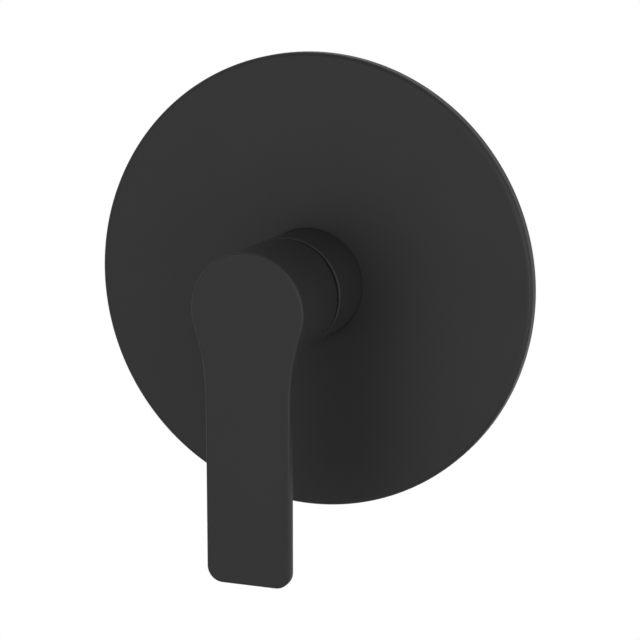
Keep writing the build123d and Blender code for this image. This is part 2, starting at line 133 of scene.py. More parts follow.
# %% Helpers for the room
scene = bpy.context.scene
scene.view_settings.view_transform = "Standard"
world = bpy.data.worlds.new("white studio")
scene.world = world
world.use_nodes = True
sky = world.node_tree
sky.nodes.clear()


def sky_math(operation, *values):
    """One math node of the world, from numbers or other nodes' outputs."""
    node = sky.nodes.new("ShaderNodeMath")
    node.operation = operation
    for socket, value in zip(node.inputs, values):
        if isinstance(value, bpy.types.NodeSocket):
            sky.links.new(value, socket)
        else:
            socket.default_value = value
    return node.outputs[0]


def panel(direction, strength, starts, full):
    """A soft panel: nothing where the direction is below starts, and its strength above full."""
    fade = sky.nodes.new("ShaderNodeMapRange")
    fade.interpolation_type = "SMOOTHSTEP"
    fade.inputs["From Min"].default_value = starts
    fade.inputs["From Max"].default_value = full
    fade.inputs["To Max"].default_value = strength
    sky.links.new(direction, fade.inputs["Value"])
    return fade.outputs["Result"]


# %% [markdown]
# Three kinds of rays see three rooms. The camera sees plain white. A matt surface is lit by an
# even glow and wide panels: the strongest in front, a weaker one on the right, and one behind, so
# that the valve's back is lit as well. Nothing hangs overhead, which leaves the tops of the
# handle and the sleeve dark. Mirrored rays see white walls, the front panel, and a box light in
# front on the right, which draws the pale edges.

# %% The room
WHITE = 1.0
ROOM_LIGHT = 0.14
FRONT_PANEL = (1.31, 0.6, 0.9)
RIGHT_PANEL = (0.42, 0.1, 0.6)
REAR_PANEL = (1.0, 0.6, 0.9)
BOX_LIGHT = (3.8, 0.70, 0.95)
BOX_WAY = (0.88, -0.46, 0.1)

path = sky.nodes.new("ShaderNodeLightPath").outputs
ways = sky.nodes.new("ShaderNodeSeparateXYZ")
sky.links.new(sky.nodes.new("ShaderNodeTexCoord").outputs["Generated"], ways.inputs[0])
to_right, to_rear, to_top = ways.outputs
to_front = sky_math("MULTIPLY", to_rear, -1.0)
to_box = sky_math("MULTIPLY", to_right, BOX_WAY[X])
to_box = sky_math("MULTIPLY_ADD", to_rear, BOX_WAY[Y], to_box)
to_box = sky_math("MULTIPLY_ADD", to_top, BOX_WAY[Z], to_box)

side_panels = sky_math("ADD", panel(to_right, *RIGHT_PANEL), panel(to_rear, *REAR_PANEL))
matt_light = sky_math("ADD", side_panels, ROOM_LIGHT)
mirrored_light = sky_math("ADD", panel(to_box, *BOX_LIGHT), WHITE)
mirrored = sky_math("MAXIMUM", path["Is Glossy Ray"], path["Is Transmission Ray"])
matt = sky_math("SUBTRACT", 1.0, mirrored)
mirrored_walls = sky_math("MULTIPLY", mirrored, mirrored_light)
walls = sky_math("MULTIPLY_ADD", matt, matt_light, mirrored_walls)
in_room = sky_math("ADD", walls, panel(to_front, *FRONT_PANEL))
seen = sky_math("MULTIPLY", path["Is Camera Ray"], WHITE)
unseen = sky_math("SUBTRACT", 1.0, path["Is Camera Ray"])

glow = sky.nodes.new("ShaderNodeBackground")
glow.inputs["Color"].default_value = (1, 1, 1, 1)
sky.links.new(sky_math("MULTIPLY_ADD", unseen, in_room, seen), glow.inputs["Strength"])
sky.links.new(glow.outputs[0], sky.nodes.new("ShaderNodeOutputWorld").inputs["Surface"])
print("room light", ROOM_LIGHT, "front", FRONT_PANEL[0], "right", RIGHT_PANEL[0],
      "rear", REAR_PANEL[0], "box", BOX_LIGHT[0])

# %% [markdown]
# The room alone casts hardly any shadow. A weak, wide disk lamp in front, a little above and to
# the left, firms the soft shadow that the lever throws on the plate. A lamp shines along its own
# -Z, so its +Z is turned away from the origin.

# %% The lamp
LAMP_WIDTH = 0.7
LAMP_POWER = 2.0
LAMP_PLACE = (-0.35, -1.9, 0.25)

lamp_data = bpy.data.lights.new("window", "AREA")
lamp_data.shape = "DISK"
lamp_data.size = LAMP_WIDTH
lamp_data.energy = LAMP_POWER
lamp = bpy.data.objects.new("window", lamp_data)
lamp.location = LAMP_PLACE
lamp.rotation_euler = lamp.location.to_track_quat("Z", "Y").to_euler()
bpy.context.collection.objects.link(lamp)
print("lamp", LAMP_POWER, "W at", LAMP_PLACE)

# %% [markdown]
# The fitting hangs on a wall, so its floor lies well below it. The floor is a pale round patch,
# made as a fan of rings.

# %% The floor
FLOOR_DROP = 360.0
FLOOR_RADIUS = 480.0
FLOOR_RINGS = 6
FLOOR_SPOKES = 96


def mesh_object(name, grids):
    """Join grids of points, each of shape (rows, columns, 3), into one mesh of quads.

    Each point is joined to its neighbours in its row and column. A grid whose last column
    repeats its first is closed later, by close_up.
    """
    counts = [grid.shape[0] * grid.shape[1] for grid in grids]
    starts = np.cumsum([0] + counts[:-1])
    quads = []
    for start, count, grid in zip(starts, counts, grids):
        index = start + np.arange(count).reshape(grid.shape[:2])
        corners = [index[:-1, :-1], index[1:, :-1], index[1:, 1:], index[:-1, 1:]]
        quads.append(np.stack(corners, axis=-1).reshape(-1, 4))
    points = np.concatenate([grid.reshape(-1, 3) for grid in grids])
    mesh = bpy.data.meshes.new(name)
    mesh.from_pydata(points, [], np.concatenate(quads))
    thing = bpy.data.objects.new(name, mesh)
    bpy.context.collection.objects.link(thing)
    return thing


spoke = np.linspace(0, 2 * math.pi, FLOOR_SPOKES + 1)
ring = np.linspace(0, FLOOR_RADIUS, FLOOR_RINGS)[:, None]
floor_grid = to_metres(ring * np.cos(spoke), -FLOOR_DROP, ring * np.sin(spoke))
floor = mesh_object("floor", [floor_grid])
print("floor", 2 * FLOOR_RADIUS, "mm across,", FLOOR_DROP, "mm below the axis")

# %% [markdown]
# Every piece made here ends as a closed shell. Where a grid meets itself, at a seam or a pole,
# its points lie double. Those are merged first, and then the faces are turned outwards. The
# shading is smooth over a round and breaks at a sharp edge, which an angle tells apart.

# %% Closing a mesh
MERGE = 2e-6
SHARP_ANGLE = math.radians(32)


def close_up(thing):
    """Merge points that coincide, turn the faces outwards, and shade smooth between edges."""
    work = bmesh.new()
    work.from_mesh(thing.data)
    bmesh.ops.remove_doubles(work, verts=work.verts, dist=MERGE)
    bmesh.ops.recalc_face_normals(work, faces=work.faces)
    open_edges = sum(not edge.is_manifold for edge in work.edges)
    volume = work.calc_volume(signed=True) / MM**3
    work.to_mesh(thing.data)
    work.free()
    thing.data.shade_smooth()
    thing.data.set_sharp_from_angle(angle=SHARP_ANGLE)
    print(thing.name, "faces", len(thing.data.polygons), "open edges", open_edges,
          "volume", round(volume), "mm3")
    return thing


# %% [markdown]
# A turned or pressed round piece is one closed section carried round the axis. Its corners are
# never truly sharp: a tool, a press or the coat of powder rounds them, and that round is the
# bright line along a black edge. The section is therefore a list of corners with a radius each.
# Two extra points hold the flat faces flat, so that smooth shading bends only over the round.

# %% Sections with rounded corners, carried round the axis
ROUND_STEPS = 8
HOLD = 0.35
HOLD_PART = 3
COLUMNS = 256


def rounded(corners):
    """Replace each corner (radius, out, rounding) of a closed section by an arc.

    The arc touches both sides. Its centre lies on the corner's bisector, and its points turn
    evenly from the first touching point to the second. A holding point follows on each side, at
    most a third of the way along what is left of it.
    """
    spots = np.array([corner[:2] for corner in corners], float)
    roundings = [corner[2] for corner in corners]
    section = []
    for index, (here, rounding) in enumerate(zip(spots, roundings)):
        if rounding == 0:
            section.append(here[None])
            continue
        back, on = spots[index - 1] - here, spots[(index + 1) % len(spots)] - here
        back_length, on_length = np.linalg.norm(back), np.linalg.norm(on)
        back, on = back / back_length, on / on_length
        half = math.acos(np.clip(back @ on, -1, 1)) / 2
        touch = rounding / math.tan(half)
        bisector = (back + on) / np.linalg.norm(back + on)
        centre = here + bisector * rounding / math.sin(half)
        first, last = here + back * touch - centre, here + on * touch - centre
        sweep = math.pi - 2 * half
        share = np.linspace(0, 1, ROUND_STEPS + 1)[:, None]
        turn = np.sin((1 - share) * sweep) * first + np.sin(share * sweep) * last
        arc = centre + turn / math.sin(sweep)
        back_hold = here + back * (touch + min(HOLD, (back_length - touch) / HOLD_PART))
        on_hold = here + on * (touch + min(HOLD, (on_length - touch) / HOLD_PART))
        section.append(np.vstack([back_hold, arc, on_hold]))
    return np.concatenate(section)


def turned(name, corners, columns=COLUMNS):
    """A round piece: a point of the section at radius r becomes (r cos a, r sin a) for each a."""
    section = rounded(corners)
    section = np.vstack([section, section[:1]])
    angle = np.linspace(0, 2 * math.pi, columns + 1)
    radius, out = section[:, :1], section[:, 1:]
    grid = to_metres(radius * np.cos(angle), radius * np.sin(angle), out)
    return close_up(mesh_object(name, [grid]))


# %% [markdown]
# The cover plate is a pressed disc with its rim turned back to the wall, hollow behind, with a
# collar that holds a ring seal round the sleeve. The press leaves a soft corner, nearly two
# millimetres in radius. Seen from the right, that corner and the rim beside it make the pale
# crescent on the plate's upper right. The hole's mouth fits the sleeve closely, so no dark ring
# shows there, and a small slope behind it widens the hole for the seal.

# %% The cover plate
PLATE_FRONT = front_of("cover_plate")
PLATE_BACK = back_of("cover_plate")
PLATE_COLUMNS = 360
PLATE_EDGE = 1.8
PLATE_SKIN = 2.2
PLATE_RIM = 3.0
PLATE_BORE = 20.77
BORE_MOUTH = 20.56
MOUTH_DEPTH = 0.5
BORE_EDGE = 0.1
COLLAR_WALL = 4.6
SEAL_CORD = 2.4
SEAL_DEPTH = 2.13
SOFT = 0.3

collar = PLATE_BORE + COLLAR_WALL
rim_inside = plate_radius - PLATE_RIM
skin_back = PLATE_FRONT - PLATE_SKIN
mouth_back = PLATE_FRONT - MOUTH_DEPTH
groove_front = PLATE_BACK / 2 + SEAL_CORD / 2
groove_back = PLATE_BACK / 2 - SEAL_CORD / 2
plate_shell = turned("plate_shell", [
    (PLATE_BORE, PLATE_BACK, SOFT),
    (collar, PLATE_BACK, SOFT),
    (collar, skin_back, SOFT),
    (rim_inside, skin_back, SOFT),
    (rim_inside, 0, SOFT),
    (plate_radius, 0, SOFT),
    (plate_radius, PLATE_FRONT, PLATE_EDGE),
    (BORE_MOUTH, PLATE_FRONT, BORE_EDGE),
    (BORE_MOUTH, mouth_back, 0),
    (PLATE_BORE, mouth_back - (PLATE_BORE - BORE_MOUTH), 0),
    (PLATE_BORE, groove_front, 0),
    (PLATE_BORE + SEAL_DEPTH, groove_front, SOFT),
    (PLATE_BORE + SEAL_DEPTH, groove_back, SOFT),
    (PLATE_BORE, groove_back, 0),
], columns=PLATE_COLUMNS)
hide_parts("cover_plate")
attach(plate_shell, "fixed")

# %% [markdown]
# The sleeve is turned tube. A fine bead stands about a tenth of a millimetre proud at its front.
# The photograph shows it only as a hairline of light just behind the dark gap, so its round is
# worth more than its height. A lip closes the front down to the hole that the handle's stem comes
# through.

# %% The sleeve
SLEEVE_FRONT = front_of("sleeve")
SLEEVE_BACK = back_of("sleeve")
BEAD_RADIUS = face("sleeve", X, HIGH)
BEAD_RISE = 0.12
BEAD_LENGTH = 0.8
BEAD_EDGE = 0.55
BEAD_BACK_EDGE = 0.2
SLEEVE_WALL = 2.2
SLEEVE_LIP = 2.2
SLEEVE_HOLE = 14.2

sleeve_radius = BEAD_RADIUS - BEAD_RISE
sleeve_inside = sleeve_radius - SLEEVE_WALL
bead_back = SLEEVE_FRONT - BEAD_LENGTH
lip_back = SLEEVE_FRONT - SLEEVE_LIP
sleeve_tube = turned("sleeve_tube", [
    (sleeve_inside, SLEEVE_BACK, SOFT),
    (sleeve_radius, SLEEVE_BACK, SOFT),
    (sleeve_radius, bead_back, 0),
    (BEAD_RADIUS, bead_back + BEAD_RISE, BEAD_BACK_EDGE),
    (BEAD_RADIUS, SLEEVE_FRONT, BEAD_EDGE),
    (SLEEVE_HOLE, SLEEVE_FRONT, SOFT),
    (SLEEVE_HOLE, lip_back, SOFT),
    (sleeve_inside, lip_back, SOFT),
])
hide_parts("sleeve")
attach(sleeve_tube, "fixed")

# %% [markdown]
# The handle is one casting: a hollow round head whose front runs down into a thin flat lever. Two
# arcs that curve the other way lead the head into the lever, and they touch both of them. The
# outline is made once as points with their outward directions. The rounded edges are then steps
# inwards along those directions, which keeps each round the same width all the way round.

# %% The handle's outline
HEAD_RADIUS = face("handle", X, HIGH)
LEVER_REACH = -face("handle", Z, LOW)
LEVER_HALF = 15.9
LEVER_BLEND = 79.0
LEVER_CORNER = 5.8
HEAD_POINTS = 120
BLEND_POINTS = 24
SIDE_POINTS = 36
CORNER_POINTS = 14
END_POINTS = 20


def arc_run(centre, radius, first, last, count, side=1):
    """Points and outward directions along an arc: centre + radius (cos a, sin a).

    The angle a goes from first to last. The side is 1 where the metal is inside the arc and -1
    where the arc curves round the air.
    """
    angle = np.linspace(first, last, count, endpoint=False)
    way = np.stack([np.cos(angle), np.sin(angle)], axis=-1)
    return np.array(centre) + radius * way, side * way


def straight_run(first, last, outward, count):
    """Points evenly along a line, all with one outward direction."""
    share = np.linspace(0, 1, count, endpoint=False)[:, None]
    return np.array(first) * (1 - share) + np.array(last) * share, np.tile(outward, (count, 1))


blend_x = LEVER_HALF + LEVER_BLEND
blend_z = -math.sqrt((HEAD_RADIUS + LEVER_BLEND) ** 2 - blend_x**2)
blend_angle = math.atan2(-blend_z, blend_x)
corner_x, corner_z = LEVER_HALF - LEVER_CORNER, LEVER_CORNER - LEVER_REACH
left, down, right = math.pi, 1.5 * math.pi, 2 * math.pi
runs = [
    arc_run((0, 0), HEAD_RADIUS, -blend_angle, left + blend_angle, HEAD_POINTS),
    arc_run((-blend_x, blend_z), LEVER_BLEND, blend_angle, 0, BLEND_POINTS, side=-1),
    straight_run((-LEVER_HALF, blend_z), (-LEVER_HALF, corner_z), (-1, 0), SIDE_POINTS),
    arc_run((-corner_x, corner_z), LEVER_CORNER, left, down, CORNER_POINTS),
    straight_run((-corner_x, -LEVER_REACH), (corner_x, -LEVER_REACH), (0, -1), END_POINTS),
    arc_run((corner_x, corner_z), LEVER_CORNER, down, right, CORNER_POINTS),
    straight_run((LEVER_HALF, corner_z), (LEVER_HALF, blend_z), (1, 0), SIDE_POINTS),
    arc_run((blend_x, blend_z), LEVER_BLEND, left, left - blend_angle, BLEND_POINTS, side=-1),
]
outline = np.concatenate([points for points, _ in runs])
outward = np.concatenate([ways for _, ways in runs])
outline = np.vstack([outline, outline[:1]])
outward = np.vstack([outward, outward[:1]])
print("outline points", len(outline), "lever from", round(blend_z, 1), "to", -LEVER_REACH, "mm")

# %% [markdown]
# The casting's skin is one grid. Each column goes with one point of the outline. Its first rows
# run over the front face, from a spine in the middle out to the rim. The spine is the axis in the
# head and the middle line in the lever. Then a quarter circle turns the face into the thin side.

# %% The handle's front face and front edge
HANDLE_FRONT = front_of("handle")
FRONT_EDGE = 0.9
FACE_ROWS = (0, 0.3, 0.6, 0.85, 0.97, 1)
QUARTER = np.linspace(0, math.pi / 2, ROUND_STEPS + 1)[1:]


def rows_of(points, out):
    """One row of the grid from its points in the wall's plane and their distance out."""
    return to_metres(points[:, 0], points[:, 1], out)


spine = np.stack(
    [0 * outline[:, 0], np.clip(outline[:, 1], LEVER_HALF - LEVER_REACH, 0)], axis=-1)
front_rim = outline - FRONT_EDGE * outward
skin = [rows_of(spine + share * (front_rim - spine), HANDLE_FRONT) for share in FACE_ROWS]
for angle in QUARTER:
    skin.append(rows_of(
        outline - FRONT_EDGE * (1 - math.sin(angle)) * outward,
        HANDLE_FRONT - FRONT_EDGE * (1 - math.cos(angle)),
    ))
print("rows over the front", len(skin))

# %% [markdown]
# Behind the lever's thin side comes a back edge, softer than a cut and smaller than the front's.
# Where the lever grows out of the head there is no back and no edge: a hollow of three
# millimetres leads from one into the other. So the back's height is a function of the distance
# from the axis, and the edge's round fades to nothing over the width of that hollow.

# %% The lever's side and back edge
SKIRT_BACK = back_of("handle")
SKIRT_RADIUS = 20.4
LEVER_THICKNESS = 3.6
BACK_EDGE = 0.6
ROOT = 3.0
SIDE_ROWS = (0.15, 0.85, 1)

lever_back = HANDLE_FRONT - LEVER_THICKNESS
skirt_lean = math.atan((HEAD_RADIUS - SKIRT_RADIUS) / (lever_back - SKIRT_BACK))
root_out = lever_back - ROOT
root_wall = SKIRT_RADIUS + (root_out - SKIRT_BACK) * math.tan(skirt_lean)
root_radius = root_wall + ROOT / math.cos(skirt_lean)


def back_height(radius):
    """How far out the back lies at a radius: flat, or the root's quarter circle near the head."""
    into_root = np.clip(root_radius - radius, 0, ROOT)
    return root_out + np.sqrt(ROOT**2 - into_root**2)


def length_of(points):
    """Distance of each point from the handle's axis."""
    return np.linalg.norm(points, axis=1)


fade = np.clip((length_of(outline) - HEAD_RADIUS) / ROOT, 0, 1)
back_edge = BACK_EDGE * fade**2 * (3 - 2 * fade)
side_start = HANDLE_FRONT - FRONT_EDGE
side_end = back_height(length_of(outline)) + back_edge
for share in SIDE_ROWS:
    skin.append(rows_of(outline, side_start + share * (side_end - side_start)))
for angle in QUARTER:
    inwards = outline - (back_edge * (1 - math.cos(angle)))[:, None] * outward
    edge_out = back_height(length_of(inwards)) + back_edge * (1 - math.sin(angle))
    skin.append(rows_of(inwards, edge_out))
print("rows over the front and side", len(skin), "skirt leans",
      round(math.degrees(skirt_lean), 2), "degrees")

# %% [markdown]
# From the back edge the rows run straight in to the root, and the root's circle turns them down
# the head's skirt. Where the outline is the head itself there is no back to cross, so those rows
# close up by themselves.

# %% The lever's back and the root
BACK_ROWS = (0.04, 0.35, 0.7, 0.93, 1)
ROOT_ROWS = 10

back_rim = outline - back_edge[:, None] * outward
rim_reach = length_of(back_rim)
ray = back_rim / rim_reach[:, None]
flat_reach = np.maximum(rim_reach, root_radius)
for share in BACK_ROWS:
    reach_now = np.minimum(rim_reach, flat_reach + share * (root_radius - flat_reach))
    skin.append(rows_of(ray * reach_now[:, None], back_height(reach_now)))
into_circle = (np.minimum(rim_reach, root_radius) - root_radius) / ROOT
root_start = np.arccos(np.clip(into_circle, -1, 0))
root_end = math.pi - skirt_lean
for share in np.linspace(0, 1, ROOT_ROWS + 1)[1:]:
    angle = root_start + share * (root_end - root_start)
    circle_reach = root_radius + ROOT * np.cos(angle)
    skin.append(rows_of(ray * circle_reach[:, None], root_out + ROOT * np.sin(angle)))
print("rows down to the skirt", len(skin))

# %% [markdown]
# Inside, the head is a cup with a boss in its middle, and the boss has a square socket for the
# stem. These rows go round the axis like a turned piece, and only the socket's rows follow a
# square: its radius at an angle is half the side over the larger of the cosine and the sine. The
# section's last three corners are no rows. They only close it, which gives the skirt's end its
# round.

# %% The inside of the head, and the skin closed
SKIRT_WALL = 2.2
SKIRT_EDGE = 0.5
HEAD_FRONT_WALL = 5.0
CAVITY_EDGE = 1.0
BOSS_RADIUS = 9.47
BOSS_BACK = back_of("handle_adapter")
SOCKET_HALF = face("handle_adapter", X, HIGH)
SOCKET_DEPTH = 13.0

cavity_front = HANDLE_FRONT - HEAD_FRONT_WALL
inside = rounded([
    (SKIRT_RADIUS, SKIRT_BACK, SKIRT_EDGE),
    (SKIRT_RADIUS - SKIRT_WALL, SKIRT_BACK, SOFT),
    (HEAD_RADIUS - SKIRT_WALL, cavity_front, CAVITY_EDGE),
    (BOSS_RADIUS, cavity_front, CAVITY_EDGE),
    (BOSS_RADIUS, BOSS_BACK, SOFT),
    (0, BOSS_BACK, 0),
    (0, HANDLE_FRONT, 0),
    (HEAD_RADIUS, lever_back, 0),
])
for radius, out in inside[:-3]:
    skin.append(rows_of(ray * radius, out))
square = ray * (SOCKET_HALF / np.abs(ray).max(axis=1))[:, None]
for share, depth in ((1, 0), (1, SOCKET_DEPTH), (0, SOCKET_DEPTH)):
    skin.append(rows_of(square * share, BOSS_BACK + depth))
handle_casting = close_up(mesh_object("handle_casting", [np.stack(skin)]))

# %% [markdown]
# A set screw comes up from below through a boss of its own, so the skin needs a round post added
# and a stepped hole taken away. Those two cross the grid at an angle of their own. A boolean with
# a turned tool is the plain way, because it is exact and the tools are as simple as the drill
# that makes the real hole.

# %% The set screw's post and hole
SCREW_OUT = (front_of("screw_cover") + back_of("screw_cover")) / 2
SCREW_RADIUS = face("handle_screw", X, HIGH)
POST_WALL = 2.7
COVER_RADIUS = face("screw_cover", X, HIGH)
COVER_TOP = face("screw_cover", Z, HIGH)
DRILL_COLUMNS = 64
DRILL_OVERRUN = 1.0


def drill(name, section):
    """A turned tool on the screw's axis: its points (radius, z) carried round that axis."""
    section = np.array(section)
    angle = np.linspace(0, 2 * math.pi, DRILL_COLUMNS + 1)
    radius, z = section[:, :1], section[:, 1:]
    grid = to_metres(radius * np.cos(angle), z, SCREW_OUT + radius * np.sin(angle))
    return close_up(mesh_object(name, [grid]))


def combine(target, tool, operation):
    """Add or take away a tool and keep the result as the target's own mesh."""
    modifier = target.modifiers.new(tool.name, "BOOLEAN")
    modifier.operation = operation
    modifier.object = tool
    bpy.context.view_layer.update()
    result = target.evaluated_get(bpy.context.evaluated_depsgraph_get())
    mesh = bpy.data.meshes.new_from_object(result)
    target.modifiers.clear()
    target.data = mesh
    bpy.data.objects.remove(tool)


post_radius = SCREW_RADIUS + POST_WALL
post_bottom = -(SKIRT_RADIUS - SKIRT_WALL / 2)
post_top = -(SOCKET_HALF + BOSS_RADIUS) / 2
combine(handle_casting, drill("post", [
    (0, post_top), (post_radius, post_top), (post_radius, post_bottom), (0, post_bottom),
]), "UNION")
below_head = -HEAD_RADIUS - DRILL_OVERRUN
combine(handle_casting, drill("stepped_drill", [
    (0, 0), (SCREW_RADIUS, 0), (SCREW_RADIUS, COVER_TOP), (COVER_RADIUS, COVER_TOP),
    (COVER_RADIUS, below_head), (0, below_head),
]), "DIFFERENCE")
close_up(handle_casting)
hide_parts("handle")
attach(handle_casting, "lever")

# %% [markdown]
# Each port has a pipe thread. The CAD bore is a plain cylinder at the thread's major radius, so
# the ridges can simply stand on it. A ridge is a small rounded hill carried along a helix: with
# each turn it moves along the port by one pitch, and at both ends it sinks back into the wall.

# %% The pipe threads
PITCH = 1.814
THREAD_DEPTH = 1.16
RIDGE_ROWS = 9
RIDGE_SPREAD = 0.46 * PITCH
ROOT_SINK = 0.15
THREAD_MARGIN = 0.6
TURN_STEPS = 60


def pipe_thread(name, mount):
    """Ridge of a thread inside a bore.

    Along the helix the angle a grows, and the place along the port is a / (2 pi) pitches. Across
    the ridge u runs from -1 to 1, the place shifts by u times nearly half a pitch, and the height
    is the depth times cos(u pi / 2) squared, which is a rounded hill. The last row returns under
    the wall, and both ends are closed.
    """
    centre, axis = np.array(mount["pos_m"]) / MM, np.array(mount["axis"], float)
    across = np.array([0.0, 1.0, 0.0])
    third = np.cross(axis, across)
    length, radius = mount["dims"]["length_mm"], mount["dims"]["r_mm"]
    run = length - 2 * THREAD_MARGIN - PITCH
    turns = run / PITCH
    angle = np.linspace(0, turns * 2 * math.pi, int(turns * TURN_STEPS))
    rise = np.clip(np.minimum(angle, angle[-1] - angle) / math.pi, 0, 1)
    u = np.linspace(-1, 1, RIDGE_ROWS)[:, None]
    height = THREAD_DEPTH * rise * np.cos(u * math.pi / 2) ** 2
    place = -run / 2 + angle / (2 * math.pi) * PITCH + u * RIDGE_SPREAD
    ridge_radius = radius - height + ROOT_SINK * (np.abs(u) == 1)
    ridge_radius = np.vstack([ridge_radius, ridge_radius[:1]])
    place = np.vstack([place, place[:1]])
    grid = (
        centre
        + place[..., None] * axis
        + (ridge_radius * np.cos(angle))[..., None] * across
        + (ridge_radius * np.sin(angle))[..., None] * third
    )
    ends = []
    for column in (0, -1):
        edge = grid[:, column]
        ends.append(np.stack([edge, np.broadcast_to(edge[0], edge.shape)]))
    ridge = close_up(mesh_object(name, [part * MM for part in [grid] + ends]))
    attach(ridge, "fixed")
    return ridge


mounts = {mount["name"]: mount for mount in frame["record"]["mounts"]}
threads = [pipe_thread(name + "_thread", mounts[name])
           for name in ("hot_inlet", "cold_inlet", "shower_outlet")]

# %% [markdown]
# A finish is colour, gloss and the small shape of the surface. The small shape comes from noise
# read at the point's own place on the object, in metres, so it stays put when the piece moves.
# Noise seldom comes near 0 or 1. Most of it lies around its middle, and that span is what a
# finish stretches from its one look to its other.

# %% Helpers for shader nodes
MIDDLE = (0.3, 0.7)
NEAR_MIDDLE = (0.35, 0.65)
FULL = (0.0, 1.0)


def add_node(tree, kind, **settings):
    """A node with its own settings, such as its operation."""
    node = tree.nodes.new(kind)
    for name, value in settings.items():
        setattr(node, name, value)
    return node


def feed(tree, socket, value):
    """Give a socket a number, a colour or another node's output."""
    if isinstance(value, bpy.types.NodeSocket):
        tree.links.new(value, socket)
    else:
        socket.default_value = value


def calc(tree, operation, first, second=0.0, third=None):
    """One math node's result."""
    node = add_node(tree, "ShaderNodeMath", operation=operation)
    feed(tree, node.inputs[0], first)
    feed(tree, node.inputs[1], second)
    if third is not None:
        feed(tree, node.inputs[2], third)
    return node.outputs[0]


def vector_calc(tree, operation, first, second=None):
    """One vector math node's result: a vector, or a number where the operation is LENGTH."""
    node = add_node(tree, "ShaderNodeVectorMath", operation=operation)
    feed(tree, node.inputs[0], first)
    if second is not None:
        feed(tree, node.inputs[1], second)
    return node.outputs["Value" if operation == "LENGTH" else "Vector"]


def noise(tree, vector, grain, detail=2.0, stretch=None):
    """Smooth noise from 0 to 1 whose bumps are as wide as the grain, in millimetres."""
    if stretch is not None:
        vector = vector_calc(tree, "MULTIPLY", vector, stretch)
    node = add_node(tree, "ShaderNodeTexNoise")
    feed(tree, node.inputs["Vector"], vector)
    feed(tree, node.inputs["Scale"], calc(tree, "DIVIDE", 1 / MM, grain))
    feed(tree, node.inputs["Detail"], detail)
    return node.outputs["Fac"]


def weigh(tree, first, share, second):
    """Two values as one: the first by its share, and the second by what is left of 1."""
    rest = calc(tree, "MULTIPLY", second, 1 - share)
    return calc(tree, "MULTIPLY_ADD", first, share, rest)


def remap(tree, value, low, high, new_low, new_high):
    """Stretch a value from one range to another and clamp it there."""
    node = add_node(tree, "ShaderNodeMapRange")
    for name, number in (("Value", value), ("From Min", low), ("From Max", high),
                         ("To Min", new_low), ("To Max", new_high)):
        feed(tree, node.inputs[name], number)
    return node.outputs["Result"]


# %% [markdown]
# What several finishes share is built once as a node group. A group gives out heights and tones
# only, and the shader that uses them stays in each material. Its inputs have names, and each has
# a usual value, which a material may change.

# %% Helper for shader groups


def new_group(name, inputs, outputs):
    """An empty shader group. An input's value is a number, or None where it takes a vector."""
    tree = bpy.data.node_groups.new(name, "ShaderNodeTree")
    for label, value in inputs.items():
        kind = "NodeSocketVector" if value is None else "NodeSocketFloat"
        socket = tree.interface.new_socket(name=label, in_out="INPUT", socket_type=kind)
        if value is not None:
            socket.default_value = value
    for label in outputs:
        tree.interface.new_socket(name=label, in_out="OUTPUT", socket_type="NodeSocketFloat")
    start, end = tree.nodes.new("NodeGroupInput"), tree.nodes.new("NodeGroupOutput")
    print("group", name, "gives", outputs)
    return tree, start.outputs, end.inputs


# %% [markdown]
# Powder coat is melted dust. It flows into a faint orange peel about a millimetre wide, and the
# matt grade keeps a fine dry grain on top. Both are far too shallow to see as shape: they only
# blur and ripple what the surface mirrors. Wide clouds make the coat a little drier in places.

# %% Group: powder coat
COAT_CLOUDS = 22.0
CLOUD_SHARE = 0.7

powder_coat, given, result = new_group(
    "powder coat",
    {"Vector": None, "Peel Width": 1.3, "Peel Depth": 0.003,
     "Grain Width": 0.22, "Grain Depth": 0.0012},
    ["Height", "Dryness"])
tree = powder_coat
peel = noise(tree, given["Vector"], given["Peel Width"], detail=1.0)
grain = noise(tree, given["Vector"], given["Grain Width"])
cloud = noise(tree, given["Vector"], COAT_CLOUDS)
peel_height = calc(tree, "MULTIPLY", peel, given["Peel Depth"])
height = calc(tree, "MULTIPLY_ADD", grain, given["Grain Depth"], peel_height)
feed(tree, result["Height"], height)
feed(tree, result["Dryness"], weigh(tree, cloud, CLOUD_SHARE, grain))

# %% [markdown]
# Brass for a valve is cast in sand or a die, then blasted, which leaves a frosted skin with
# shallow pits. The pits are the peaks of a noise a few grains wide, turned downwards. The tone
# comes half from the fine grain and half from broad stains.

# %% Group: cast skin
PIT_GRAINS = 2.6
PIT_SPAN = (0.62, 0.76)
PIT_DEPTH = 0.8
STAIN_GRAINS = 14.0
STAIN_SHARE = 0.45

cast_skin, given, result = new_group(
    "cast skin", {"Vector": None, "Grain Width": 0.8}, ["Height", "Tone", "Pits"])
tree = cast_skin
coarse = noise(tree, given["Vector"], given["Grain Width"], detail=3.0)
stain_width = calc(tree, "MULTIPLY", given["Grain Width"], STAIN_GRAINS)
broad = noise(tree, given["Vector"], stain_width, detail=3.0)
pit_width = calc(tree, "MULTIPLY", given["Grain Width"], PIT_GRAINS)
pits = remap(tree, noise(tree, given["Vector"], pit_width), *PIT_SPAN, *FULL)
sunk = calc(tree, "MULTIPLY", pits, PIT_DEPTH)
feed(tree, result["Height"], calc(tree, "SUBTRACT", coarse, sunk))
feed(tree, result["Tone"], weigh(tree, broad, STAIN_SHARE, coarse))
feed(tree, result["Pits"], pits)

# %% [markdown]
# What a tool has cut is brighter, with fine rings round the tool's axis. Rings are noise in one
# dimension only. On a flat end that dimension is the distance from the axis, and on a round side
# it is the way along the axis, so the two are added. The vector Across is 1 in the directions
# across the axis and 0 along it, which splits a place into both.

# %% Group: turned rings
RING_DETAIL = 2.0
TARNISH_WIDTH = 9.0
TARNISH_SHARE = 0.6

